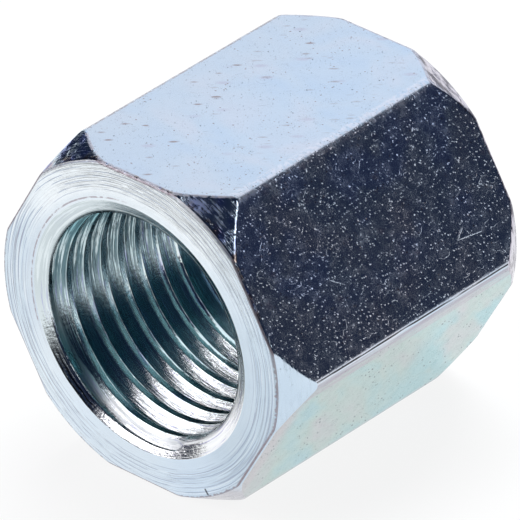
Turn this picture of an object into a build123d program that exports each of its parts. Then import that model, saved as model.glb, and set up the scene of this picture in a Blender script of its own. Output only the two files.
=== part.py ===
from build123d import *
import math
import os

# Coupling nut: a short length of hexagon bar, turned at both ends and threaded right through.
# It lies on one flat with its bore along Y. Millimetres, +Z up, origin at the middle of the bore.

# Drawn hexagon bar
across_flats = 21.0
nut_length = 21.5
corner_radius = 0.8

# Turned ends, the same at both ends
face_diameter = 21.55  # circle where the end face meets the corner chamfer
chamfer_angle = 30.0  # corner chamfer, measured from the bore axis
rim_radius = 0.25  # round between the end face and the corner chamfer

# Bore, M16 x 1.5: the wall is the cylinder over the thread's crests
bore_diameter = 14.5
countersink_diameter = 16.7
countersink_angle = 120.0  # included angle
mouth_radius = 0.2  # round between the end face and the countersink

# The turned outline goes this far past the bar's sharp corners
turning_clearance = 2.0

# Worked out from the sizes above
half_length = nut_length / 2
bore_radius = bore_diameter / 2
mouth_edge_radius = countersink_diameter / 2
face_edge_radius = face_diameter / 2
turning_radius = across_flats / math.sqrt(3) + turning_clearance
countersink_depth = (mouth_edge_radius - bore_radius) / math.tan(math.radians(countersink_angle / 2))
chamfer_depth = (turning_radius - face_edge_radius) / math.tan(math.radians(chamfer_angle))


def hexagon_bar():
    """The drawn bar with rounded corners, a flat uppermost, cut to length."""
    outline = Plane.XZ * RegularPolygon(across_flats / 2, 6, major_radius=False)
    rounded = fillet(outline.vertices(), corner_radius)
    return extrude(rounded, half_length, both=True)


def corners_at(section, radius):
    """The section's two corners at a radius, one on each end face."""
    on_faces = [v for v in section.vertices() if math.isclose(abs(v.Y), half_length, abs_tol=1e-6)]
    return [v for v in on_faces if math.isclose(v.X, radius, abs_tol=1e-6)]


def turned_ring():
    """What the lathe leaves: bore, countersinks, end faces and corner chamfers, turned about Y."""
    outline = Polyline(
        (bore_radius, countersink_depth - half_length),
        (mouth_edge_radius, -half_length),
        (face_edge_radius, -half_length),
        (turning_radius, chamfer_depth - half_length),
        (turning_radius, half_length - chamfer_depth),
        (face_edge_radius, half_length),
        (mouth_edge_radius, half_length),
        (bore_radius, half_length - countersink_depth),
        close=True,
    )
    section = Sketch() + make_face(outline)
    section = fillet(corners_at(section, face_edge_radius), rim_radius)
    section = fillet(corners_at(section, mouth_edge_radius), mouth_radius)
    return revolve(section, Axis.Y)


def coupling_nut():
    """The finished nut, one solid."""
    return hexagon_bar() & turned_ring()


os.makedirs("parts", exist_ok=True)
export_step(coupling_nut(), "parts/coupling_nut.step")
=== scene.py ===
import logging
import math
from dataclasses import dataclass, field
from enum import Enum
from typing import Sequence

import bmesh
import bpy
import numpy as np
from mathutils import Matrix, Vector


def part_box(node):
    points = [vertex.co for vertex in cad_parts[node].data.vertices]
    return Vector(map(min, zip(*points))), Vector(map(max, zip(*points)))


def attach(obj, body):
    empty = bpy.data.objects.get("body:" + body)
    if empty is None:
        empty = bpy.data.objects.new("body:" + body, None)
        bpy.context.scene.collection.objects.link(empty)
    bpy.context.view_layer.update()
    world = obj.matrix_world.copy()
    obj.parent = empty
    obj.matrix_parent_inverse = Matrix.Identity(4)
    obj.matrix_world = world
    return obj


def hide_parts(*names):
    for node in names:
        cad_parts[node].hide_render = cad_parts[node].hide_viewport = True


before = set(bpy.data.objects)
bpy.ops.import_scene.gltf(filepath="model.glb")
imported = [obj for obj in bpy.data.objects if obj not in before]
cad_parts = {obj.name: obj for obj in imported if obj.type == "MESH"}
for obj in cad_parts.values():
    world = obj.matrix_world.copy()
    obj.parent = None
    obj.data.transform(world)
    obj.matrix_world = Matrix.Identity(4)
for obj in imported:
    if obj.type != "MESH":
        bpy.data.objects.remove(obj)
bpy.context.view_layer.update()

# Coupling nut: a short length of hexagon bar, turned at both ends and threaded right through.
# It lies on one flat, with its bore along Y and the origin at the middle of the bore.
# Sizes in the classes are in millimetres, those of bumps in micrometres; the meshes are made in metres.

Socket = bpy.types.NodeSocket
Colour = tuple[float, float, float]
Point = tuple[float, float, float]
Pair = tuple[float, float]
Mark = tuple[Point, Point, float]
Stops = Sequence[tuple[float, Colour]]
Speck = tuple[float, float, float]  # scale, size and share of scattered dots

LOG = logging.getLogger("coupling_nut")
MM = 0.001
MICRON = 0.000001
UNIT = (1.0, 1.0, 1.0)
WHITE = (1.0, 1.0, 1.0)
SIXTH = math.radians(60)
NO_LENGTH = 1e-9
NO_TURN = 1e-6
STRAIGHT = 2.0  # length of outline beside a corner, more than any rounding takes


class Zone(Enum):
    """The differently finished parts of the nut's skin, in the order of its material slots."""

    FLAT = 0
    FACE = 1
    CHAMFER = 2
    BORE = 3


# Node sheets --------------------


class NodeSheet:
    """A thin wrapper round a node tree, so that a finish reads as a list of steps."""

    def __init__(self, tree: bpy.types.NodeTree) -> None:
        """Empties the tree and keeps it."""
        self.tree = tree
        self.tree.nodes.clear()

    def add(self, kind: str, settings: dict | None = None, inputs: dict | None = None) -> bpy.types.Node:
        """Adds one node.

        Args:
            kind: the node's type name.
            settings: attributes to set on it.
            inputs: values or sockets for its inputs, by name or number.

        Returns:
            The new node.
        """
        node = self.tree.nodes.new(kind)
        for name, value in (settings or {}).items():
            setattr(node, name, value)
        for name, value in (inputs or {}).items():
            self.plug(value, node.inputs[name])
        return node

    def plug(self, value: object, socket: Socket) -> None:
        """Links a socket to an input, or writes a plain value on it. A colour of three parts becomes opaque."""
        if isinstance(value, Socket):
            self.tree.links.new(value, socket)
        elif socket.type == "RGBA" and len(value) == 3:
            socket.default_value = (*value, 1.0)
        else:
            socket.default_value = value

    def math(self, operation: str, *values: object, clamp: bool = False) -> Socket:
        """Adds a Math node.

        Args:
            operation: the Math node's operation.
            values: numbers or sockets for its inputs, in order.
            clamp: whether the result is kept between 0 and 1.

        Returns:
            Its output socket.
        """
        inputs = dict(enumerate(values))
        return self.add("ShaderNodeMath", {"operation": operation, "use_clamp": clamp}, inputs).outputs[0]

    def chain(self, operation: str, values: Sequence[object]) -> Socket:
        """Joins values one after another by a Math node's operation."""
        result = values[0]
        for value in values[1:]:
            result = self.math(operation, result, value)
        return result

    def product(self, *values: object) -> Socket:
        """Multiplies values."""
        return self.chain("MULTIPLY", values)

    def total(self, *values: object) -> Socket:
        """Adds values up."""
        return self.chain("ADD", values)

    def largest(self, *values: object) -> Socket:
        """Gives the largest of some values."""
        return self.chain("MAXIMUM", values)

    def scaled_up(self, value: Socket, factor: float) -> Socket:
        """Multiplies a value and keeps the result between 0 and 1."""
        return self.math("MULTIPLY", value, factor, clamp=True)

    def gap(self, value: Socket, level: float) -> Socket:
        """Distance of a value from a level."""
        return self.math("ABSOLUTE", self.math("SUBTRACT", value, level))

    def axes(self, vector: Socket) -> tuple[Socket, Socket, Socket]:
        """Splits a vector into its X, Y and Z."""
        return tuple(self.add("ShaderNodeSeparateXYZ", {}, {"Vector": vector}).outputs)

    def vector(self, operation: str, inputs: dict) -> bpy.types.Node:
        """Adds a Vector Math node."""
        return self.add("ShaderNodeVectorMath", {"operation": operation}, inputs)

    def ramp(self, value: object, low: float, high: float, out_low: float = 0.0, out_high: float = 1.0) -> Socket:
        """Maps a value from one range to another, eased at the ends and clamped.

        Args:
            value: the socket to map.
            low: start of the range it comes from.
            high: end of the range it comes from.
            out_low: result at the start.
            out_high: result at the end.

        Returns:
            The mapped socket.
        """
        settings = {"interpolation_type": "SMOOTHSTEP", "clamp": True}
        inputs = {"Value": value, "From Min": low, "From Max": high, "To Min": out_low, "To Max": out_high}
        return self.add("ShaderNodeMapRange", settings, inputs).outputs["Result"]

    def noise(
        self, vector: object, scale: float, detail: float = 2.0, roughness: float = 0.5, distortion: float = 0.0
    ) -> Socket:
        """Adds a three-dimensional noise and gives its factor."""
        inputs = {"Vector": vector, "Scale": scale, "Detail": detail, "Roughness": roughness, "Distortion": distortion}
        return self.add("ShaderNodeTexNoise", {"noise_dimensions": "3D"}, inputs).outputs["Fac"]

    def stretch(self, vector: object, scale: Sequence[float], turn: Sequence[float] = (0, 0, 0)) -> Socket:
        """Scales a vector along each axis and turns it about each axis, in degrees."""
        node = self.add("ShaderNodeMapping", {"vector_type": "POINT"}, {"Vector": vector})
        node.inputs["Scale"].default_value = tuple(scale)
        node.inputs["Rotation"].default_value = tuple(math.radians(angle) for angle in turn)
        return node.outputs[0]

    def blend(self, factor: object, first: object, second: object) -> Socket:
        """Mixes two colours by a factor."""
        settings = {"data_type": "RGBA", "blend_type": "MIX"}
        return self.add("ShaderNodeMix", settings, {0: factor, 6: first, 7: second}).outputs[2]

    def coats(self, colour: object, *layers: tuple[object, object]) -> Socket:
        """Lays colours over one another, each by its own factor.

        Args:
            colour: the colour at the bottom.
            layers: the factor and the colour of each coat, the lowest first.

        Returns:
            The colour socket.
        """
        for factor, coat in layers:
            colour = self.blend(factor, colour, coat)
        return colour

    def stops(self, value: object, colours: Stops) -> Socket:
        """Turns a value into a colour through a few stops.

        Args:
            value: the socket to colour.
            colours: places from 0 to 1, in order, and the colour at each.

        Returns:
            The colour socket.
        """
        node = self.add("ShaderNodeValToRGB", {}, {"Fac": value})
        elements = node.color_ramp.elements
        elements[0].position, elements[1].position = colours[0][0], colours[-1][0]
        elements[0].color, elements[1].color = (*colours[0][1], 1.0), (*colours[-1][1], 1.0)
        for place, colour in colours[1:-1]:
            elements.new(place).color = (*colour, 1.0)
        return node.outputs["Color"]

    def dots(self, vector: object, scale: float, size: float, share: float) -> Socket:
        """Round dots in a share of scattered cells, from 0 around them to 1 at their middles."""
        inputs = {"Vector": vector, "Scale": scale, "Randomness": 1.0}
        cells = self.add("ShaderNodeTexVoronoi", {"feature": "F1"}, inputs)
        number = self.add("ShaderNodeSeparateColor", {}, {"Color": cells.outputs["Color"]}).outputs[0]
        chosen = self.math("LESS_THAN", number, share)
        return self.product(self.ramp(cells.outputs["Distance"], size, 0.0), chosen)

    def specks(self, vector: object, kinds: Sequence[Speck]) -> Socket:
        """Dots of several kinds."""
        return self.largest(*[self.dots(vector, *kind) for kind in kinds])

    def bump(self, height: object, microns: float, under: object | None = None, strength: float = 1.0) -> Socket:
        """Adds a bump of some micrometres on top of another one."""
        inputs = {"Height": height, "Strength": strength, "Distance": microns * MICRON}
        node = self.add("ShaderNodeBump", {}, inputs)
        if under is not None:
            self.plug(under, node.inputs["Normal"])
        return node.outputs[0]


class PlateSheet(NodeSheet):
    """The node sheet of a finish, which knows the place on the nut in millimetres."""

    def __init__(self, tree: bpy.types.NodeTree) -> None:
        """Adds the place, its parts along the axes, and its radius, direction and depth about the bore."""
        super().__init__(tree)
        self.place = self.stretch(self.add("ShaderNodeTexCoord").outputs["Object"], (1 / MM, 1 / MM, 1 / MM))
        self.side, self.along, self.height = self.axes(self.place)
        squares = [self.product(part, part) for part in (self.side, self.height)]
        self.radius = self.math("SQRT", self.total(*squares))
        self.across = self.math("DIVIDE", self.side, self.radius)
        self.up = self.math("DIVIDE", self.height, self.radius)
        self.depth = self.math("ABSOLUTE", self.along)

    def patches(self, scale: float, detail: float, *levels: float) -> Socket:
        """A noise over the nut, mapped by the limits of a ramp."""
        return self.ramp(self.noise(self.place, scale, detail), *levels)

    def where(self, *ranges: tuple) -> Socket:
        """A product of ramps, each given as its value and its limits."""
        return self.product(*[self.ramp(*limits) for limits in ranges])

    def rounds(self, level: Socket, reach: float, detail: float = 2.0, roughness: float = 0.5) -> Socket:
        """A noise drawn out along circles about the bore.

        Args:
            level: what changes from one circle to the next.
            reach: how fast the noise changes along a circle.
            detail: octaves of the noise.
            roughness: weight of its finer octaves.

        Returns:
            The noise's factor.
        """
        parts = {0: level, 1: self.product(self.across, reach), 2: self.product(self.up, reach)}
        return self.noise(self.add("ShaderNodeCombineXYZ", {}, parts).outputs[0], 1.0, detail, roughness)

    def mark(self, start: Point, end: Point, width: float) -> Socket:
        """A straight scratch or smear.

        Args:
            start: one end of the mark.
            end: the other end.
            width: distance from its middle line at which it ends.

        Returns:
            A value from 0 outside the mark to 1 on its middle line.
        """
        way = Vector(end) - Vector(start)
        offset = self.vector("SUBTRACT", {0: self.place, 1: start}).outputs[0]
        dot = self.vector("DOT_PRODUCT", {0: offset, 1: tuple(way)}).outputs["Value"]
        share = self.math("DIVIDE", dot, way.length_squared, clamp=True)
        foot = self.vector("SCALE", {0: tuple(way), "Scale": share}).outputs[0]
        return self.ramp(self.vector("DISTANCE", {0: offset, 1: foot}).outputs["Value"], width, 0.0)


# Finishes --------------------


@dataclass(frozen=True)
class ZincPlate:
    """Bright zinc plate with a clear blue passivate. Each zone's own finish builds on it."""

    name: str
    colour: Colour = (0.69, 0.775, 0.85)
    shade: Colour = (0.64, 0.73, 0.82)
    roughness: float = 0.16
    roughness_spread: float = 0.05
    wave_height: float = 10.0

    def material(self) -> bpy.types.Material:
        """Builds the finish's node material.

        Returns:
            The material.
        """
        material = bpy.data.materials.new(self.name)
        material.use_nodes = True
        sheet = PlateSheet(material.node_tree)
        inputs = {
            "Base Color": self.tint(sheet),
            "Roughness": self.gloss(sheet),
            "Normal": self.relief(sheet),
            "Metallic": 1.0,
        }
        shader = sheet.add("ShaderNodeBsdfPrincipled", {}, inputs)
        sheet.add("ShaderNodeOutputMaterial", {}, {"Surface": shader.outputs[0]})
        return material

    @property
    def least_roughness(self) -> float:
        """Roughness of the smoothest plate."""
        return self.roughness - self.roughness_spread

    def tint(self, sheet: PlateSheet) -> Socket:
        """Colour of the plate."""
        return sheet.blend(sheet.patches(0.35, 3.0, 0.35, 0.65), self.colour, self.shade)

    def gloss(self, sheet: PlateSheet) -> Socket:
        """Roughness of the plate."""
        cloud = sheet.noise(sheet.place, 1.7, detail=4.0, roughness=0.6)
        return sheet.ramp(cloud, 0.3, 0.7, self.least_roughness, self.roughness + self.roughness_spread)

    def relief(self, sheet: PlateSheet) -> Socket:
        """Normal of the plate's small relief."""
        return sheet.bump(sheet.noise(sheet.place, 6.0, detail=3.0), self.wave_height, strength=0.3)


@dataclass(frozen=True)
class RolledFlat(ZincPlate):
    """The drawn bar's flats: glossy, with hazy patches, a dense grain of tiny bumps, curling hairlines and flecks."""

    grain: tuple[tuple[float, float, float, float], ...] = (
        (6.3, 0.34, 0.42, 11.0),
        (3.9, 0.24, 0.36, 15.0),
        (1.9, 0.13, 0.34, 26.0),
    )
    scratches: tuple[Mark, ...] = (
        ((10.6, 5.6, 2.7), (10.3, 6.3, 3.1), 0.09),
        ((10.6, 5.6, 2.7), (10.7, 7.7, 2.4), 0.07),
        ((6.9, 5.6, 9.0), (7.1, 6.1, 8.7), 0.09),
        ((7.3, 5.0, 8.3), (7.5, 5.3, 8.0), 0.22),
        ((7.5, -0.1, 8.0), (8.5, 1.2, 6.2), 0.06),
        ((9.6, -4.6, 4.4), (9.9, -3.7, 3.8), 0.06),
    )
    specks: tuple[Speck, ...] = ((2.3, 0.2, 0.22), (3.4, 0.26, 0.22))
    pits: tuple[Speck, ...] = ((3.0, 0.25, 0.4), (4.3, 0.28, 0.4))
    dash: Speck = (1.5, 0.34, 0.42)
    dash_stretch: Point = (0.5, 1.5, 1.5)
    smear: Speck = (1.0, 0.3, 0.4)
    smear_stretch: Point = (0.45, 1.0, 1.0)
    wave_height: float = 3.0
    hair_height: float = 3.0
    hair_width: float = 0.012
    scratch_height: float = 12.0
    upper: Stops = ((0.30, (0.62, 0.73, 0.90)), (0.50, (0.68, 0.76, 0.885)), (0.68, (0.75, 0.77, 0.87)))
    lower: Stops = (
        (0.34, (0.37, 0.61, 0.67)),
        (0.44, (0.42, 0.62, 0.63)),
        (0.53, (0.47, 0.61, 0.59)),
        (0.70, (0.54, 0.57, 0.60)),
    )
    fleck: Colour = (0.43, 0.36, 0.38)
    rub: Colour = (0.47, 0.46, 0.53)
    # Colour of the dark line just under the right-hand corner, which is colour only.
    dark_line: Colour = (0.05, 0.05, 0.06)
    wipe: Colour = (0.62, 0.58, 0.70)
    blue: Colour = (0.56, 0.68, 1.0)
    pink: Colour = (0.56, 0.54, 0.58)
    cyan: Colour = (0.37, 0.62, 0.66)
    dull: Colour = (0.70, 0.745, 0.83)
    pit: Colour = (0.14, 0.20, 0.23)
    # Painted shade: a darker colour for the upper-left flat.
    painted_back_flat_shade: Colour = (0.33, 0.36, 0.42)
    brown: Colour = (0.48, 0.39, 0.40)
    frost: Colour = (0.90, 0.87, 0.95)
    dash_turn: float = -42.0
    pit_turns: Pair = (59.4, 41.4)
    pit_squash: float = 0.36
    left_corner: Pair = (-5.7, -5.8)
    right_corner: Pair = (5.35, 5.65)
    corner_height: Pair = (10.0, 10.2)
    right_edge: Pair = (10.6, 10.9)
    dark_line_height: float = 0.17

    def tint(self, sheet: PlateSheet) -> Socket:
        """Bluer on the upper flats, cyan, green and pink on the lower ones, with dark flecks and short dashes.

        Args:
            sheet: the finish's node sheet.

        Returns:
            The colour socket.
        """
        place, side, height = sheet.place, sheet.side, sheet.height
        first = sheet.stretch(place, UNIT, (0.0, 0.0, self.pit_turns[0]))
        slanted = sheet.stretch(first, UNIT, (0.0, self.pit_turns[1], 0.0))
        drawn = sheet.stretch(slanted, (self.pit_squash, 1.0, 1.0))
        upper = sheet.ramp(height, -0.6, 0.3)
        colour = sheet.blend(upper, self.under(sheet, drawn), self.over(sheet))
        patch = sheet.product(sheet.patches(0.3, 2.0, 0.42, 0.58), 0.7)
        blue = sheet.product(patch, sheet.where((side, 6.0, 6.3), (height, 1.5, 5.0)))
        turned = sheet.stretch(place, UNIT, (0.0, 0.0, self.dash_turn))
        wipes = sheet.dots(sheet.stretch(turned, self.smear_stretch), *self.smear)
        soft = sheet.product(sheet.scaled_up(wipes, 1.2), sheet.where((height, 0.0, 1.0, 0.0, 0.6), (side, -6.6, -6.2)))
        pitted = sheet.where((height, 0.0, -0.6), (sheet.noise(drawn, 0.7), 0.44, 0.6))
        pits = sheet.product(sheet.scaled_up(sheet.specks(drawn, self.pits), 3.0), pitted)
        dashes = sheet.dots(sheet.stretch(turned, self.dash_stretch), *self.dash)
        dashes = sheet.product(dashes, sheet.ramp(side, 3.5, -2.0, 0.3, 1.0))
        marks = sheet.largest(sheet.specks(place, self.specks), dashes)
        crowd = sheet.patches(0.6, 2.0, 0.42, 0.58)
        dirt = sheet.scaled_up(sheet.product(marks, upper, crowd), 2.0)
        layers = ((blue, self.blue), (soft, self.wipe), (pits, self.pit), (dirt, self.fleck))
        return self.edge(sheet, sheet.coats(colour, *layers))

    def under(self, sheet: PlateSheet, drawn: Socket) -> Socket:
        """Colour of the lower flats, from a place drawn out across them.

        Args:
            sheet: the finish's node sheet.
            drawn: the place, drawn out.

        Returns:
            The colour socket.
        """
        base = sheet.stops(sheet.noise(drawn, 0.3, detail=3.0, distortion=0.3), self.lower)
        cyan = sheet.where((sheet.noise(drawn, 0.4), 0.4, 0.6), (sheet.along, 1.0, 5.0))
        strip = sheet.ramp(sheet.total(sheet.along, sheet.noise(drawn, 1.0, detail=3.0)), -7.7, -9.5, 0.0, 0.9)
        bottom = sheet.ramp(sheet.height, -9.7, -10.3, 0.0, 0.6)
        return sheet.coats(base, (cyan, self.cyan), (strip, self.pink), (bottom, self.pink))

    def over(self, sheet: PlateSheet) -> Socket:
        """Colour of the upper flats, worn brown and white at the corners of the uppermost one, with painted shade
        darkening the upper-left flat.

        Args:
            sheet: the finish's node sheet.

        Returns:
            The colour socket.
        """
        hue = sheet.noise(sheet.stretch(sheet.place, (0.8, 1.0, 0.8)), 0.26, detail=2.0, distortion=0.6)
        rough = sheet.patches(3.6, 4.0, 0.4, 0.58, 0.0, 0.65)
        corner = sheet.product(sheet.ramp(sheet.height, *self.corner_height), rough)
        return sheet.coats(
            sheet.stops(hue, self.upper),
            (sheet.ramp(sheet.side, 2.0, -5.0, 0.0, 0.5), self.dull),
            (sheet.ramp(sheet.along, -3.0, -9.0, 0.0, 0.5), self.dull),
            # Painted shade darkens the upper-left flat.
            (sheet.ramp(sheet.side, -6.3, -7.0, 0.0, 0.95), self.painted_back_flat_shade),
            (sheet.product(sheet.ramp(sheet.side, *self.left_corner), corner), self.brown),
            (sheet.product(sheet.ramp(sheet.side, *self.right_corner), corner), self.frost),
        )

    def edge(self, sheet: PlateSheet, colour: Socket) -> Socket:
        """Adds the rubbed strip and the dark line just under the right-hand corner.

        Args:
            sheet: the finish's node sheet.
            colour: the colour without them.

        Returns:
            The colour socket.
        """
        height, right = sheet.height, (sheet.side, *self.right_edge)
        lines = sheet.noise(sheet.stretch(sheet.place, (1.0, 0.18, 3.5)), 1.4, detail=3.0)
        rubbed = sheet.where((height, -1.3, -0.9), (height, 0.08, -0.05), right, (lines, 0.35, 0.6, 0.35, 1.0))
        # A dark line in the colour just under the right-hand corner.
        line = sheet.where((sheet.gap(height, self.dark_line_height), 0.08, 0.03), right, (lines, 0.4, 0.54))
        return sheet.coats(colour, (rubbed, self.rub), (line, self.dark_line))

    def gloss(self, sheet: PlateSheet) -> Socket:
        """Smooth metal with rougher hazy patches."""
        haze = sheet.noise(sheet.place, 1.3, detail=6.0, roughness=0.8)
        cloud = sheet.ramp(haze, 0.35, 0.75, self.least_roughness, self.roughness + 0.10)
        edge = sheet.product(sheet.where((sheet.height, 9.9, 10.3), (sheet.side, 6.0, 6.1)), 0.05)
        return sheet.total(cloud, edge)

    def relief(self, sheet: PlateSheet) -> Socket:
        """Tiny bumps of three sizes, curling hairlines and the larger scratches.

        Args:
            sheet: the finish's node sheet.

        Returns:
            The normal socket.
        """
        normal = sheet.bump(sheet.noise(sheet.place, 2.2, detail=3.0), self.wave_height)
        for scale, size, share, height in self.grain:
            normal = sheet.bump(sheet.dots(sheet.place, scale, size, share), height, normal)
        curls = sheet.ramp(sheet.gap(sheet.noise(sheet.place, 1.3, detail=1.0), 0.5), self.hair_width, 0.0)
        hair = sheet.product(curls, sheet.patches(0.8, 1.0, 0.56, 0.62))
        normal = sheet.bump(hair, self.hair_height, normal)
        scratches = sheet.largest(*[sheet.mark(*scratch) for scratch in self.scratches])
        scratches = sheet.product(scratches, sheet.patches(6.0, 2.0, 0.3, 0.5))
        return sheet.bump(scratches, self.scratch_height, normal)


@dataclass(frozen=True)
class TurnedFace(ZincPlate):
    """The faced ends: fine rings left by the tool, broken up by the plate."""

    bands: Stops = (
        (0.34, (0.92, 0.95, 0.97)),
        (0.42, (0.68, 0.78, 0.86)),
        (0.53, (0.63, 0.74, 0.83)),
        (0.58, (0.46, 0.54, 0.62)),
        (0.66, (0.34, 0.34, 0.42)),
    )
    # Painted light: a lighter blue for the bottom of the face.
    low: Colour = (0.70, 0.84, 1.0)
    # Painted highlights: the lighter fan across the face and the lighter band above the mouth.
    painted_fan_highlight: Colour = (0.86, 0.93, 0.97)
    painted_crown_highlight: Colour = (0.92, 0.97, 1.0)
    # Painted shade: a darker colour for the right side of the face.
    painted_right_shade: Colour = (0.50, 0.64, 0.77)
    dark_line: Colour = (0.36, 0.43, 0.57)
    burr: Colour = (0.36, 0.31, 0.35)
    # Painted shade: a near-black tick where the lower rim has a nick.
    painted_nick_shade: Colour = (0.03, 0.03, 0.04)
    tick: Mark = ((5.0, -10.75, -9.04), (5.2, -10.75, -9.3), 0.12)
    # Slant along which the painted fan highlight runs.
    fan_highlight_way: Pair = (0.45, 0.89)
    lip_radius: float = 8.53
    rim: Pair = (10.71, 10.76)
    hexagon_edge: Pair = (10.3, 10.38)
    feeds: float = 3.4
    ring_scale: float = 11.0
    ring_reach: float = 1.8
    ring_height: float = 30.0
    smooth_radius: float = 8.85

    def rings(self, sheet: PlateSheet, fineness: float) -> Socket:
        """Broken rings about the bore."""
        level = sheet.product(sheet.radius, self.ring_scale * fineness)
        return sheet.rounds(level, self.ring_reach * fineness, roughness=0.6)

    def tint(self, sheet: PlateSheet) -> Socket:
        """Pale metal with lighter and darker rings, smoother round the mouth, with painted highlights in a fan and
        above the mouth, painted light making the bottom a lighter blue and painted shade on the right.

        Args:
            sheet: the finish's node sheet.

        Returns:
            The colour socket.
        """
        radius, across, up = sheet.radius, sheet.across, sheet.up
        lines = sheet.stops(self.rings(sheet, 1.0), self.bands)
        slant = sheet.total(sheet.product(across, self.fan_highlight_way[0]), sheet.product(up, self.fan_highlight_way[1]))
        return sheet.coats(
            super().tint(sheet),
            (sheet.ramp(radius, self.smooth_radius, self.smooth_radius + 0.6, 0.1, 0.85), lines),
            # Painted light: the bottom of the face turns a lighter blue.
            (sheet.ramp(up, -0.55, -0.95, 0.0, 0.6), self.low),
            # Painted highlights: a fan along the slant and a band above the mouth.
            (sheet.ramp(sheet.math("ABSOLUTE", slant), 0.6, 0.95, 0.0, 0.4), self.painted_fan_highlight),
            (sheet.where((up, 0.3, 0.75, 0.0, 0.85), (radius, 8.6, 9.1, 0.5, 1.0)), self.painted_crown_highlight),
            # Painted shade: the right side of the face darker.
            (sheet.ramp(across, 0.5, 0.8, 0.0, 0.35), self.painted_right_shade),
            (self.feed(sheet), self.dark_line),
            (self.wear(sheet), self.burr),
            # Painted shade of the nick in the lower rim.
            (sheet.mark(*self.tick), self.painted_nick_shade),
        )

    def wear(self, sheet: PlateSheet) -> Socket:
        """The ragged rim, the broken edges beside the flats and the dotted lip round the mouth.

        Args:
            sheet: the finish's node sheet.

        Returns:
            How worn each place is, from 0 to 1.
        """
        uneven = sheet.product(sheet.math("SUBTRACT", sheet.noise(sheet.place, 4.5, detail=4.0), 0.5), 0.6)
        rim = sheet.where((sheet.total(sheet.radius, uneven), *self.rim), (sheet.up, 0.35, 0.05, 0.35, 0.75))
        edges = sheet.product(self.brink(sheet), sheet.patches(5.0, 3.0, 0.4, 0.6, 0.75, 1.0))
        lip = (sheet.gap(sheet.radius, self.lip_radius), 0.07, 0.03)
        lip = sheet.where(lip, (sheet.across, 0.0, -0.3), (sheet.up, -0.5, -0.3))
        lip = sheet.product(lip, sheet.patches(3.2, 3.0, 0.4, 0.55, 0.1, 0.8))
        return sheet.largest(rim, edges, lip)

    def brink(self, sheet: PlateSheet) -> Socket:
        """The broken edge between a face and the six flats."""
        level = sheet.math("ABSOLUTE", sheet.height)
        slope = sheet.product(sheet.math("ABSOLUTE", sheet.side), math.sin(SIXTH))
        reach = sheet.largest(level, sheet.total(slope, sheet.product(level, math.cos(SIXTH))))
        return sheet.ramp(reach, *self.hexagon_edge)

    def feed(self, sheet: PlateSheet) -> Socket:
        """Thin even rings one feed apart, each coming and going round the face.

        Args:
            sheet: the finish's node sheet.

        Returns:
            A value from 0 between the rings to 1 on them.
        """
        radius = sheet.radius
        wander = sheet.product(sheet.noise(sheet.place, 0.5), 0.7)
        turn = sheet.total(sheet.product(radius, self.feeds), wander)
        return sheet.where(
            (sheet.math("PINGPONG", turn, 0.5), 0.13, 0.03),
            (sheet.rounds(sheet.product(radius, 3.0), 4.0), 0.4, 0.52),
            (radius, self.smooth_radius, self.smooth_radius + 0.3, 0.0, 0.85),
        )

    def gloss(self, sheet: PlateSheet) -> Socket:
        """Smooth, but worn dull along the rim."""
        worn = sheet.largest(sheet.ramp(sheet.radius, 10.6, 10.7), self.brink(sheet))
        return sheet.total(super().gloss(sheet), sheet.product(worn, 0.3))

    def relief(self, sheet: PlateSheet) -> Socket:
        """Grooves of the rings, fading out towards the mouth."""
        outside = sheet.ramp(sheet.radius, self.smooth_radius - 0.2, self.smooth_radius + 0.5, 0.15, 1.0)
        return sheet.bump(sheet.product(self.rings(sheet, 1.6), outside), self.ring_height, super().relief(sheet))


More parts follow.
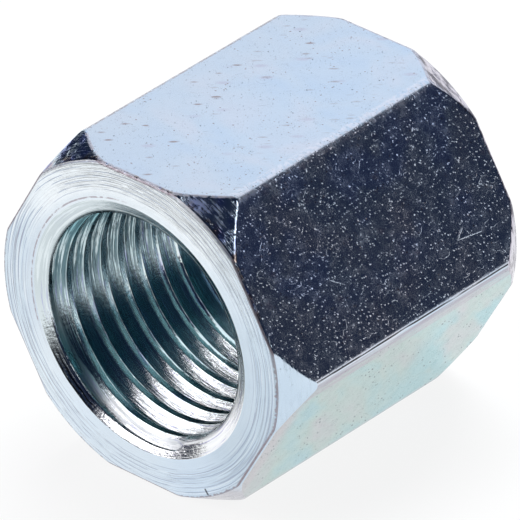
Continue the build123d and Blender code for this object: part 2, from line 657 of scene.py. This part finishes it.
@dataclass(frozen=True)
class TurnedChamfer(ZincPlate):
    """The corner chamfers: tool streaks across a glossy cone."""

    nicks: tuple[Mark, ...] = (
        ((-5.9, -10.3, 9.95), (-3.9, -10.25, 11.0), 0.08),
        ((5.3, -10.27, 10.3), (6.2, -10.14, 10.1), 0.08),
        ((6.5, -10.55, 9.0), (7.5, -10.56, 8.15), 0.09),
        ((6.9, -10.15, 9.6), (7.4, -10.16, 9.2), 0.16),
    )
    tip: Mark = ((4.4, -10.4, 10.4), (5.8, -10.2, 10.3), 0.9)
    # Painted shade: darker lavender stops for the far end's chamfers, along the tool streaks.
    far: Stops = ((0.0, (0.62, 0.60, 0.69)), (0.6, (0.46, 0.44, 0.52)), (1.0, (0.15, 0.14, 0.18)))
    tinge: Colour = (0.36, 0.22, 0.14)
    haze: Colour = (0.40, 0.49, 0.92)
    bright: Colour = (0.80, 0.78, 0.86)
    low: Colour = (0.56, 0.55, 0.60)
    top_edge: Pair = (10.4, 10.46)
    dullest: float = 0.34
    slant: float = 5.0
    streak_reach: float = 9.0
    streak_height: float = 30.0
    speck: Speck = (3.2, 0.3, 0.3)
    speck_height: float = 14.0
    nick_height: float = 40.0

    def tint(self, sheet: PlateSheet) -> Socket:
        """Blue metal with a brown tinge beside the near face's rim, and painted shade that darkens the far end's
        chamfers along their tool streaks.

        Args:
            sheet: the finish's node sheet.

        Returns:
            The colour socket.
        """
        upper = sheet.ramp(sheet.up, 0.3, 0.5)
        hazy = sheet.product(sheet.patches(0.9, 3.0, 0.45, 0.65), upper)
        lines = sheet.ramp(self.streaks(sheet), 0.42, 0.6)
        inner = sheet.product(sheet.where((sheet.radius, 11.2, 10.9), (sheet.along, 1.0, -1.0)), upper, 0.75)
        return sheet.coats(
            super().tint(sheet),
            (sheet.largest(hazy, sheet.mark(*self.tip)), self.haze),
            # Painted shade: the far end's chamfers darker along their streaks.
            (sheet.ramp(sheet.along, -1.0, 1.0), sheet.stops(lines, self.far)),
            (sheet.ramp(sheet.up, -0.7, -0.8, 0.0, 0.9), self.low),
            (sheet.product(inner, sheet.patches(1.4, 2.0, 0.42, 0.6)), self.tinge),
            (self.brink(sheet), self.bright),
        )

    def brink(self, sheet: PlateSheet) -> Socket:
        """The rubbed edge between a chamfer and the uppermost flat."""
        return sheet.product(sheet.ramp(sheet.height, *self.top_edge), self.scuffs(sheet))

    def scuffs(self, sheet: PlateSheet) -> Socket:
        """Small patches in which a rubbed place shows."""
        return sheet.patches(3.0, 3.0, 0.3, 0.55)

    def streaks(self, sheet: PlateSheet) -> Socket:
        """A noise drawn out round the cone and slanting a little along it."""
        level = sheet.total(sheet.product(sheet.radius, self.slant), sheet.product(sheet.along, self.slant))
        return sheet.rounds(level, self.streak_reach, detail=3.0, roughness=0.7)

    def gloss(self, sheet: PlateSheet) -> Socket:
        """Glossy with rougher streaks."""
        streaks = sheet.ramp(self.streaks(sheet), 0.4, 0.7, self.least_roughness, self.dullest)
        worn = sheet.largest(sheet.product(sheet.mark(*self.tip), self.scuffs(sheet)), self.brink(sheet))
        return sheet.total(streaks, sheet.product(worn, self.dullest))

    def relief(self, sheet: PlateSheet) -> Socket:
        """Fine streaks and a few specks and nicks.

        Args:
            sheet: the finish's node sheet.

        Returns:
            The normal socket.
        """
        broken = sheet.patches(1.2, 2.0, 0.4, 0.6, 0.25, 1.0)
        normal = sheet.bump(sheet.product(self.streaks(sheet), broken), self.streak_height)
        normal = sheet.bump(sheet.dots(sheet.place, *self.speck), self.speck_height, normal)
        for nick in self.nicks:
            normal = sheet.bump(sheet.mark(*nick), self.nick_height, normal)
        return normal


@dataclass(frozen=True)
class CutThread(ZincPlate):
    """The bore: cut thread with streaks along its turns."""

    violet: Colour = (0.36, 0.36, 0.66)
    # Pale plate for the countersinks, also used as painted light on the left side of the bore.
    pale_plate_and_painted_light: Colour = (0.76, 0.84, 0.87)
    # Painted highlight: near white where the glints fall at the bottom of the bore.
    painted_glint_white: Colour = (0.97, 0.98, 1.0)
    deep: Colour = (0.06, 0.14, 0.17)
    # Painted highlight: a paler colour for the crests in the lower half.
    painted_crest_highlight: Colour = (0.88, 0.98, 0.98)
    # Painted shade: near-black for the lines round the lower left of the countersinks.
    painted_arc_shade: Colour = (0.03, 0.03, 0.05)
    tear: float = 0.45
    crest: Pair = (7.27, 7.33)
    cone_depth: Pair = (10.1, 10.3)
    slant: float = 1.2
    streak_reach: float = 2.2
    arc_feeds: float = 4.6
    score_height: float = 40.0
    tear_height: float = 12.0

    def streaks(self, sheet: PlateSheet, fineness: float) -> Socket:
        """A noise drawn out along the turns of the thread."""
        level = sheet.total(sheet.product(sheet.radius, fineness), sheet.product(sheet.along, self.slant))
        return sheet.rounds(level, self.streak_reach, detail=3.0, roughness=0.6)

    def calm(self, sheet: PlateSheet, rest: float) -> Socket:
        """A factor that falls from 1 in the thread to a rest on the countersinks."""
        return sheet.ramp(sheet.depth, *self.cone_depth, 1.0, rest)

    def tint(self, sheet: PlateSheet) -> Socket:
        """Teal metal with darker and violet streaks, paler in the countersinks, with painted light on the left side,
        painted highlights on the bottom glints and lower crests, and painted shade in dark lines round the lower left
        of the countersinks.

        Args:
            sheet: the finish's node sheet.

        Returns:
            The colour socket.
        """
        radius, across, up = sheet.radius, sheet.across, sheet.up
        mouth = sheet.ramp(sheet.depth, 10.0, 10.2)
        # Painted light: the left side of the bore pale; the countersinks pale plate.
        light = sheet.largest(sheet.ramp(across, -0.97, -0.86, 0.7, 0.0), mouth)
        # Painted highlight: the glints at the bottom of the bore near white.
        bottom = sheet.where((across, -0.7, -0.4, 0.0, 0.95), (up, 0.0, -0.3))
        # Painted highlight on the crests of the lower half.
        crest = sheet.where((radius, *self.crest, 1.0, 0.0), (up, -0.05, -0.4))
        bold = sheet.where((up, -0.5, 0.1, 0.25, 1.0), (radius, *self.crest, 0.3, 1.0))
        dark = sheet.ramp(self.streaks(sheet, 8.0), 0.41, 0.50, 0.0, 0.88)
        dark = sheet.product(dark, bold, self.calm(sheet, 0.25))
        edge = sheet.where((self.streaks(sheet, 9.0), 0.55, 0.66, 0.0, 0.6), (up, 0.2, -0.2, 0.1, 1.0))
        return sheet.coats(
            super().tint(sheet),
            (light, self.pale_plate_and_painted_light),
            (bottom, self.painted_glint_white),
            (crest, self.painted_crest_highlight),
            (dark, self.deep),
            (edge, self.violet),
            # Painted shade: dark lines round the lower left of the countersinks.
            (sheet.product(self.painted_shade_arcs(sheet), mouth), self.painted_arc_shade),
        )

    def painted_shade_arcs(self, sheet: PlateSheet) -> Socket:
        """Painted shade: dark lines round the lower left of the countersinks.

        Args:
            sheet: the finish's node sheet.

        Returns:
            A value from 0 between the lines to 1 on them.
        """
        radius, across = sheet.radius, sheet.across
        level = sheet.total(sheet.product(radius, self.arc_feeds), sheet.noise(sheet.place, 1.5))
        return sheet.where(
            (across, -0.9, -0.83),
            (across, -0.4, -0.55),
            (sheet.up, -0.3, -0.42),
            (radius, 7.8, 7.9),
            (sheet.math("PINGPONG", level, 0.5), 0.25, 0.34, 0.0, 0.9),
        )

    def gloss(self, sheet: PlateSheet) -> Socket:
        """Smooth between rougher streaks, and dull on the torn first flank.

        Args:
            sheet: the finish's node sheet.

        Returns:
            The roughness socket.
        """
        streaks = sheet.ramp(self.streaks(sheet, 10.0), 0.35, 0.75, self.least_roughness, 0.2)
        first = sheet.where((sheet.depth, 9.5, 9.65), (sheet.depth, 10.35, 10.25), (sheet.radius, 7.38, 7.5))
        torn = sheet.product(first, sheet.ramp(self.streaks(sheet, 7.0), 0.36, 0.52), self.tear)
        return sheet.total(sheet.product(streaks, self.calm(sheet, 0.75)), torn)

    def relief(self, sheet: PlateSheet) -> Socket:
        """Fine scoring along the turns, and a little torn metal."""
        scores = sheet.product(self.streaks(sheet, 14.0), self.calm(sheet, 0.35))
        normal = sheet.bump(scores, self.score_height)
        return sheet.bump(sheet.noise(sheet.place, 5.0, detail=3.0), self.tear_height, normal)


# Meshes --------------------


Row = tuple[float, float, Zone]


def eased(share: float) -> float:
    """Eases a share that is first held between 0 and 1."""
    held = min(max(share, 0.0), 1.0)
    return held * held * (3.0 - 2.0 * held)


def rounded_corner(before: Pair, corner: Pair, after: Pair, radius: float, steps: int) -> list[Pair]:
    """Points of the arc that rounds one corner of an outline.

    Args:
        before: the outline's point before the corner.
        corner: the sharp corner.
        after: the point after it.
        radius: the radius wanted, made smaller where the sides are short.
        steps: straight steps in the arc.

    Returns:
        steps + 1 points, from the side before to the side after.
    """
    way_in = np.subtract(corner, before)
    way_out = np.subtract(after, corner)
    length_in = float(np.hypot(*way_in))
    length_out = float(np.hypot(*way_out))
    if min(length_in, length_out) < NO_LENGTH:
        return [corner] * (steps + 1)
    way_in = way_in / length_in
    way_out = way_out / length_out
    turn = math.atan2(way_in[0] * way_out[1] - way_in[1] * way_out[0], float(np.dot(way_in, way_out)))
    if abs(turn) < NO_TURN:
        return [corner] * (steps + 1)
    tangent = min(radius * math.tan(abs(turn) / 2), 0.5 * length_in, 0.5 * length_out)
    radius = tangent / math.tan(abs(turn) / 2)
    side = math.copysign(1.0, turn)
    start = np.asarray(corner) - way_in * tangent
    centre = start + side * radius * np.array([-way_in[1], way_in[0]])
    x, y = start - centre
    points = []
    for step in range(steps + 1):
        angle = turn * step / steps
        turned = (x * math.cos(angle) - y * math.sin(angle), x * math.sin(angle) + y * math.cos(angle))
        points.append(tuple(centre + turned))
    return points


def linked(name: str, data: bpy.types.ID) -> bpy.types.Object:
    """Makes an object and adds it to the scene."""
    thing = bpy.data.objects.new(name, data)
    bpy.context.scene.collection.objects.link(thing)
    return thing


def direction(bearing: float, height: float) -> Vector:
    """Unit vector from degrees round from -Y towards -X and degrees above the horizon."""
    turn, rise = math.radians(bearing), math.radians(height)
    return Vector((-math.sin(turn) * math.cos(rise), -math.cos(turn) * math.cos(rise), math.sin(rise)))


@dataclass
class HexagonBar:
    """The hexagon bar's outline round the bore axis, on flats above and below."""

    across_flats: float = 21.0
    corner_radius: float = 0.8
    corner_steps: int = 8
    flat_steps: int = 42

    def columns(self) -> tuple[np.ndarray, np.ndarray]:
        """Angle round the bore and distance from it for each column of the skin.

        Returns:
            The angles, in degrees from +X towards +Z, and the radii at them.
        """
        reach = (self.across_flats / 2 - self.corner_radius) / math.cos(SIXTH / 2)
        outline: list[Pair] = []
        for corner in range(6):
            middle = SIXTH * corner
            for step in range(self.corner_steps + 1):
                aim = middle + SIXTH * (step / self.corner_steps - 0.5)
                x = reach * math.cos(middle) + self.corner_radius * math.cos(aim)
                z = reach * math.sin(middle) + self.corner_radius * math.sin(aim)
                outline.append((x, z))
            x0, z0 = outline[-1]
            aim = middle + SIXTH
            x1 = reach * math.cos(aim) + self.corner_radius * math.cos(middle + SIXTH / 2)
            z1 = reach * math.sin(aim) + self.corner_radius * math.sin(middle + SIXTH / 2)
            for step in range(1, self.flat_steps):
                share = step / self.flat_steps
                outline.append((x0 + (x1 - x0) * share, z0 + (z1 - z0) * share))
        angles = np.degrees(np.unwrap([math.atan2(z, x) for x, z in outline]))
        radii = np.array([math.hypot(x, z) for x, z in outline])
        return angles, radii


@dataclass
class TurnedEnd:
    """One turned end: the flat ring of its face, the rounded rim and the chamfer cone across the corners."""

    face_radius: float = 10.775
    chamfer_angle: float = 30.0
    rim_radius: float = 0.25
    edge_break: float = 0.09
    crest_radius: float = 0.45
    least_crest: float = 1.2
    arc_steps: int = 4
    face_rows: int = 22
    cone_rows: int = 4
    ring_height: float = 0.004
    ring_fade: float = 6.0

    def profile(self, bar_radius: float, mouth: Pair, rings: np.ndarray) -> list[Row]:
        """Outline of the end in one half plane through the axis.

        Args:
            bar_radius: the hexagon's radius in that plane.
            mouth: the outer end of the mouth's rounding, as depth and radius.
            rings: small heights of the turning rings, from 0 to 1.

        Returns:
            Points as depth, radius and zone, from the mouth to the hexagon.
        """
        slope = math.tan(math.radians(self.chamfer_angle))
        rim = (0.0, min(bar_radius - self.edge_break, self.face_radius))
        crest = (max(self.edge_break * self.least_crest, (bar_radius - rim[1]) / slope), bar_radius)
        beyond = (crest[0] + STRAIGHT, bar_radius)
        rim_arc = rounded_corner(mouth, rim, crest, self.rim_radius, self.arc_steps)
        crest_arc = rounded_corner(rim, crest, beyond, self.crest_radius, self.arc_steps)
        points: list[Row] = []
        start, end = mouth[1], rim_arc[0][1]
        for row in range(1, self.face_rows):
            share = row / self.face_rows
            ease = min(1.0, self.ring_fade * share, self.ring_fade * (1 - share))
            points.append((self.ring_height * rings[row] * ease, start + (end - start) * share, Zone.FACE))
        points += [(depth, radius, Zone.FACE) for depth, radius in rim_arc]
        (depth0, radius0), (depth1, radius1) = rim_arc[-1], crest_arc[0]
        for row in range(1, self.cone_rows):
            share = row / self.cone_rows
            points.append((depth0 + (depth1 - depth0) * share, radius0 + (radius1 - radius0) * share, Zone.CHAMFER))
        points += [(depth, radius, Zone.CHAMFER) for depth, radius in crest_arc]
        return points


@dataclass
class ThreadedBore:
    """The bore: a right-hand internal thread right through, opening into a countersink at each end."""

    length: float = 21.5
    pitch: float = 1.5
    crest_radius: float = 7.25
    root_radius: float = 8.0
    crest_width: float = 0.45
    flank_angle: float = 30.0
    crest_round: float = 0.07
    root_round: float = 0.05
    start_depth: float = 1.913
    start_angle: float = 225.0
    countersink_radius: float = 8.35
    countersink_angle: float = 60.0
    mouth_round: float = 0.2
    cone_rows: int = 4
    run_out_depth: float = 0.66
    run_out_width: float = 0.05
    lead_in: float = 0.27
    lead_in_depth: float = 1.73
    lead_in_width: float = 0.19
    turns: tuple[int, int] = (-3, 18)
    tooth_steps: int = 2
    mouth_steps: int = 3

    def tooth(self) -> list[Pair]:
        """One pitch of the thread's outline, as depth past the crest's far edge and radius."""
        rise = self.root_radius - self.crest_radius
        flank = rise * math.tan(math.radians(self.flank_angle))
        corners = [
            (-self.crest_width, self.crest_radius),
            (0.0, self.crest_radius),
            (flank, self.root_radius),
            (self.pitch - self.crest_width - flank, self.root_radius),
        ]
        rounds = [self.crest_round, self.crest_round, self.root_round, self.root_round]
        before = (corners[-1][0] - self.pitch, corners[-1][1])
        after = (corners[0][0] + self.pitch, corners[0][1])
        line = [before, *corners, after]
        points: list[Pair] = []
        for number, rounding in enumerate(rounds):
            points += rounded_corner(*line[number : number + 3], rounding, self.tooth_steps)
            if number == 0:
                points.append((-self.crest_width / 2, self.crest_radius))
        return points

    def mouth(self) -> list[Pair]:
        """Rounded edge between the countersink and the end face, from the countersink outwards."""
        slope = math.tan(math.radians(self.countersink_angle))
        corner = (0.0, self.countersink_radius)
        inner = (STRAIGHT, self.countersink_radius - slope * STRAIGHT)
        outer = (0.0, self.countersink_radius + STRAIGHT)
        return rounded_corner(inner, corner, outer, self.mouth_round, self.mouth_steps)

    def cone(self, depth: np.ndarray) -> np.ndarray:
        """Radius of the countersink at each depth from its own face."""
        return self.countersink_radius - depth * math.tan(math.radians(self.countersink_angle))

    def cut(self, centre: float) -> float:
        """Share of its full depth to which the groove is cut where its middle lies at a depth from the near face."""
        return eased((min(centre, self.length - centre) - self.run_out_depth) / self.run_out_width + 0.5)

    def lead(self, centre: float) -> float:
        """How far the crest whose middle lies at a depth is drawn outwards, near the start of the thread."""
        return self.lead_in * eased((self.lead_in_depth - centre) / self.lead_in_width)

    def rows(self, angle: float) -> list[Row]:
        """Outline of the whole bore in one half plane.

        Args:
            angle: the half plane's angle round the bore, in degrees.

        Returns:
            Points as depth from the near face, radius and zone, from the near countersink to the far one.
        """
        tooth = self.tooth()
        offset = self.start_depth + self.pitch * (self.start_angle - angle) / 360.0
        middle = (self.pitch - self.crest_width) / 2
        points = []
        for turn in range(*self.turns):
            start = offset + turn * self.pitch
            for depth, radius in tooth:
                cut = self.cut(start + middle)
                crest = start - self.crest_width / 2 + (0.0 if depth < middle else self.pitch)
                height = self.crest_radius + (radius - self.crest_radius) * cut
                points.append((start + depth - self.lead(crest), height))
        line = np.array(points)
        for _ in range(2):
            line = self.cut_end(line)[::-1]
            line[:, 0] = self.length - line[:, 0]
        return [(float(depth), float(radius), Zone.BORE) for depth, radius in line]

    def cut_end(self, line: np.ndarray) -> np.ndarray:
        """Cuts the countersink at depth 0 into a column of thread points.

        Args:
            line: depth and radius of the points, deeper ones last.

        Returns:
            As many points: those cut away lie on the cone instead, between the places where it meets the thread.
        """
        line = line.copy()
        gap = line[:, 1] - self.cone(line[:, 0])
        gap[line[:, 0] > self.length / 2] = 1.0
        first = int(np.argmax(gap > 0))
        cut = self.crossing(line, gap, first)
        row = first
        while row < len(line):
            if gap[row] > 0:
                row += 1
                continue
            stop = row
            while gap[stop] <= 0:
                stop += 1
            enter = self.crossing(line, gap, row)
            leave = self.crossing(line, gap, stop)
            count = stop - row
            for number in range(count):
                share = number / (count - 1) if count > 1 else 0.5
                line[row + number] = enter + (leave - enter) * share
            row = stop
        edge = np.array(self.mouth()[0])
        for back in range(first):
            share = min(back / self.cone_rows, 1.0)
            line[first - 1 - back] = cut + (edge - cut) * share
        return line

    def crossing(self, line: np.ndarray, gap: np.ndarray, row: int) -> np.ndarray:
        """Point between a row and the one before it where the thread meets the countersink."""
        share = gap[row - 1] / (gap[row - 1] - gap[row])
        return line[row - 1] + (line[row] - line[row - 1]) * share


@dataclass
class CouplingNut:
    """The whole nut as one closed skin."""

    bar: HexagonBar = field(default_factory=HexagonBar)
    end: TurnedEnd = field(default_factory=TurnedEnd)
    bore: ThreadedBore = field(default_factory=ThreadedBore)
    length: float = 21.5
    length_rows: int = 40
    node: str = "coupling_nut"
    seed: int = 7
    weld_reach: float = 2e-7
    least_edge: float = 1e-8
    normal_weight: int = 50

    def column(self, angle: float, radius: float, rings: np.ndarray) -> list[Row]:
        """One closed loop of skin points in a half plane: over the near face, along the bar and back in the bore.

        Args:
            angle: angle of the half plane, in degrees.
            radius: the hexagon's radius in it.
            rings: heights of the turning rings of each end.

        Returns:
            The loop, with the zone of each point.
        """
        mouth = self.bore.mouth()
        rounded = [(depth, at, Zone.FACE) for depth, at in mouth[1:]]
        near, far = (rounded + self.end.profile(radius, mouth[-1], heights) for heights in rings)
        far = [(self.length - depth, at, zone) for depth, at, zone in reversed(far)]
        step = (far[0][0] - near[-1][0]) / self.length_rows
        along = [(near[-1][0] + step * row, radius, Zone.FLAT) for row in range(1, self.length_rows)]
        return near + along + far + self.bore.rows(angle)[::-1]

    def build(self) -> bpy.types.Object:
        """Builds the nut's mesh.

        Returns:
            The nut's object, with its zones as material numbers.
        """
        rng = np.random.default_rng(self.seed)
        rings = rng.random((2, self.end.face_rows + 1))
        angles, radii = self.bar.columns()
        angles = np.append(angles, angles[0] + 360.0)
        radii = np.append(radii, radii[0])
        loops = [self.column(angle, radius, rings) for angle, radius in zip(angles, radii)]
        size = len(loops[0])
        points: list[Point] = []
        for angle, loop in zip(angles, loops):
            across, up = math.cos(math.radians(angle)), math.sin(math.radians(angle))
            for depth, radius, _ in loop:
                points.append((radius * across * MM, (depth - self.length / 2) * MM, radius * up * MM))
        faces: list[tuple[int, ...]] = []
        zones: list[int] = []
        for number in range(len(angles) - 1):
            here, there = number * size, (number + 1) * size
            for row in range(size):
                after = (row + 1) % size
                faces.append((here + row, there + row, there + after, here + after))
                zones.append(self.zone_between(loops[number][row][2], loops[number][after][2]).value)
        mesh = bpy.data.meshes.new(self.node + "_skin")
        mesh.from_pydata(points, [], faces)
        mesh.polygons.foreach_set("material_index", zones)
        nut = linked(mesh.name, mesh)
        self.weld(mesh)
        return nut

    def zone_between(self, first: Zone, second: Zone) -> Zone:
        """Zone of the strip between two rows."""
        order = (Zone.BORE, Zone.FLAT, Zone.CHAMFER, Zone.FACE)
        return next(zone for zone in order if zone in (first, second))

    def weld(self, mesh: bpy.types.Mesh) -> None:
        """Joins the skin's seam and drops the strips without width.

        Args:
            mesh: the nut's mesh, changed in place.
        """
        work = bmesh.new()
        work.from_mesh(mesh)
        bmesh.ops.remove_doubles(work, verts=work.verts, dist=self.weld_reach)
        bmesh.ops.dissolve_degenerate(work, edges=work.edges, dist=self.least_edge)
        bmesh.ops.recalc_face_normals(work, faces=work.faces)
        for face in work.faces:
            face.smooth = True
        open_edges = sum(1 for edge in work.edges if len(edge.link_faces) != 2)
        triangles = sum(len(face.verts) - 2 for face in work.faces)
        volume = work.calc_volume() / MM**3
        LOG.info("skin: %d triangles, %d open edges, volume %.1f mm3", triangles, open_edges, volume)
        work.to_mesh(mesh)
        work.free()

    def dress(self, nut: bpy.types.Object) -> None:
        """Gives each zone of the nut its finish."""
        for finish in FINISHES:
            nut.data.materials.append(finish.material())
        weighted = nut.modifiers.new("even_normals", "WEIGHTED_NORMAL")
        weighted.weight = self.normal_weight
        weighted.keep_sharp = True

    def place(self) -> bpy.types.Object:
        """Builds and dresses the nut and ties it to the CAD node."""
        nut = self.build()
        self.dress(nut)
        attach(nut, "root")
        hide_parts("coupling_nut")
        return nut


FINISHES: tuple[ZincPlate, ...] = (
    RolledFlat("zinc_rolled_flat", roughness=0.21, roughness_spread=0.04),
    TurnedFace("zinc_turned_face", roughness=0.18),
    TurnedChamfer("zinc_turned_chamfer", colour=(0.63, 0.75, 0.87), shade=(0.58, 0.70, 0.82), roughness=0.14),
    CutThread("zinc_cut_thread", colour=(0.36, 0.60, 0.65), shade=(0.28, 0.52, 0.58), roughness=0.09),
)


# Stage --------------------


@dataclass
class PaleFloor:
    """The plain pale surface that the nut lies on."""

    reach: float = 3.0
    colour: Colour = (0.86, 0.87, 0.88)
    fibre: Colour = (0.8514, 0.8613, 0.8712)
    fibre_scale: float = 900.0
    glow: float = 0.86
    lit_front: float = -0.047
    lit_edge: float = 0.003

    def place(self, height: float) -> bpy.types.Object:
        """Lays the floor at a height in metres."""
        mesh = bpy.data.meshes.new("floor")
        corners = [(-1, -1), (1, -1), (1, 1), (-1, 1)]
        mesh.from_pydata([(x * self.reach, y * self.reach, height) for x, y in corners], [], [(0, 1, 2, 3)])
        floor = linked("floor", mesh)
        mesh.materials.append(self.material())
        return floor

    def material(self) -> bpy.types.Material:
        """Pale matt paper, seen as a white background directly and in the metal.

        Returns:
            The material.
        """
        material = bpy.data.materials.new("pale_paper")
        material.use_nodes = True
        sheet = NodeSheet(material.node_tree)
        place = sheet.add("ShaderNodeTexCoord").outputs["Object"]
        fibre = sheet.ramp(sheet.noise(place, self.fibre_scale), 0.3, 0.7)
        tint = sheet.blend(fibre, self.colour, self.fibre)
        matt = sheet.add("ShaderNodeBsdfDiffuse", {}, {"Color": tint})
        path = sheet.add("ShaderNodeLightPath").outputs
        _, ahead, _ = sheet.axes(place)
        reach = sheet.ramp(ahead, self.lit_front - self.lit_edge, self.lit_front + self.lit_edge)
        level = sheet.largest(reach, path["Is Camera Ray"])
        white = sheet.add("ShaderNodeEmission", {}, {"Color": WHITE, "Strength": level})
        seen = sheet.largest(path["Is Camera Ray"], path["Is Glossy Ray"], path["Is Transmission Ray"])
        share = sheet.product(seen, self.glow)
        mix = sheet.add("ShaderNodeMixShader", {}, {0: share, 1: matt.outputs[0], 2: white.outputs[0]})
        sheet.add("ShaderNodeOutputMaterial", {}, {"Surface": mix.outputs[0]})
        return material


@dataclass(frozen=True)
class SoftPanel:
    """A soft light panel of the studio: where it stands round the nut and how bright it is."""

    name: str
    bearing: float  # degrees from -Y towards -X
    height: float  # degrees above the horizon
    half_width: float
    half_height: float
    softness: float
    strength: float
    colour: Colour = WHITE


@dataclass
class Studio:
    """The room round the nut: a dim surround with soft panels, as a world shader."""

    surround: Colour = (0.014, 0.021, 0.042)
    panels: tuple[SoftPanel, ...] = (
        SoftPanel("back_left_panel", 154.0, 31.0, 43.0, 28.0, 5.0, 0.95, (0.86, 0.94, 1.0)),
        SoftPanel("front_left_panel", 42.0, 36.0, 28.0, 26.0, 2.0, 2.5, (1.0, 0.98, 0.99)),
        SoftPanel("right_strip", -101.0, 47.0, 18.0, 17.0, 4.0, 2.4),
    )

    def place(self) -> None:
        """Builds the world."""
        world = bpy.data.worlds.new("studio")
        bpy.context.scene.world = world
        world.use_nodes = True
        sheet = NodeSheet(world.node_tree)
        aim = sheet.add("ShaderNodeTexCoord").outputs["Generated"]
        side, ahead, up = sheet.axes(aim)
        bearing = sheet.math("ARCTAN2", sheet.product(side, -1.0), sheet.product(ahead, -1.0))
        height = sheet.math("ARCSINE", up)
        light: object = self.surround
        for panel in self.panels:
            glow = self.panel_glow(sheet, panel, bearing, height)
            scaled = sheet.vector("SCALE", {0: panel.colour, "Scale": glow}).outputs[0]
            light = sheet.vector("ADD", {0: light, 1: scaled}).outputs[0]
        room = sheet.add("ShaderNodeBackground", {}, {"Color": light}).outputs[0]
        white = sheet.add("ShaderNodeBackground", {}, {"Color": WHITE}).outputs[0]
        path = sheet.add("ShaderNodeLightPath").outputs
        mix = sheet.add("ShaderNodeMixShader", {}, {0: path["Is Camera Ray"], 1: room, 2: white})
        sheet.add("ShaderNodeOutputWorld", {}, {"Surface": mix.outputs[0]})

    def panel_glow(self, sheet: NodeSheet, panel: SoftPanel, bearing: Socket, height: Socket) -> Socket:
        """Brightness that one panel adds in each direction.

        Args:
            sheet: the world's sheet.
            panel: the panel.
            bearing: bearing of the direction, in radians.
            height: its height above the horizon, in radians.

        Returns:
            The brightness socket.
        """
        off = sheet.math("SUBTRACT", bearing, math.radians(panel.bearing))
        off = sheet.math("ABSOLUTE", sheet.math("WRAP", off, math.pi, -math.pi))
        rise = sheet.gap(height, math.radians(panel.height))
        across = sheet.ramp(off, *self.edges(panel.half_width, panel.softness))
        upright = sheet.ramp(rise, *self.edges(panel.half_height, panel.softness))
        return sheet.product(across, upright, panel.strength)

    def edges(self, reach: float, softness: float) -> Pair:
        """Outer and inner end of a panel's soft edge, from degrees."""
        return math.radians(reach + softness), math.radians(reach - softness)


@dataclass
class SoftLamp:
    """One large soft lamp above and behind the nut."""

    energy: float = 6.0
    side: float = 0.5
    distance: float = 0.7
    bearing: float = 150.0
    height: float = 55.0

    def place(self) -> bpy.types.Object:
        """Adds the lamp, aimed at the nut."""
        lamp = bpy.data.lights.new("soft_lamp", "AREA")
        lamp.shape = "SQUARE"
        lamp.size = self.side
        lamp.energy = self.energy
        holder = linked("soft_lamp", lamp)
        away = direction(self.bearing, self.height)
        holder.location = away * self.distance
        holder.rotation_mode = "QUATERNION"
        holder.rotation_quaternion = away.to_track_quat("Z", "Y")
        holder.visible_camera = False
        holder.visible_glossy = False
        return holder


@dataclass
class LongLensCamera:
    """A camera far off with a long lens, looking down on the near end and the upper flats."""

    bearing: float = -42.3278
    height: float = 31.8998
    roll: float = -1.2046
    distance: float = 630.0
    aside: float = 0.042
    above: float = 0.231
    focal_length: float = 736.7
    sensor: float = 36.0
    clip: Pair = (0.05, 20.0)

    def place(self) -> bpy.types.Object:
        """Adds the camera and makes it the scene's own."""
        roll = math.radians(self.roll)
        back = direction(self.bearing, self.height)
        level = direction(self.bearing - 90.0, 0.0)
        upright = back.cross(level)
        right = level * math.cos(roll) + upright * math.sin(roll)
        top = upright * math.cos(roll) - level * math.sin(roll)
        lens = bpy.data.cameras.new("camera")
        lens.lens = self.focal_length
        lens.sensor_width = self.sensor
        lens.clip_start, lens.clip_end = self.clip
        camera = linked("camera", lens)
        spot = (back * self.distance - right * self.aside - top * self.above) * MM
        axes = Matrix((right, top, back)).transposed().to_4x4()
        camera.matrix_world = Matrix.Translation(spot) @ axes
        bpy.context.scene.camera = camera
        return camera


def main() -> None:
    """Builds the camera, the nut and the stage, in that order."""
    logging.basicConfig(level=logging.INFO, format="%(name)s: %(message)s")
    LongLensCamera().place()
    nut = CouplingNut().place()
    LOG.info("%s placed", nut.name)
    low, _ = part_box("coupling_nut")
    PaleFloor().place(low.z)
    Studio().place()
    SoftLamp().place()
    bpy.context.scene.view_settings.view_transform = "Standard"
    LOG.info("stage placed")


if __name__ == "__main__":
    main()
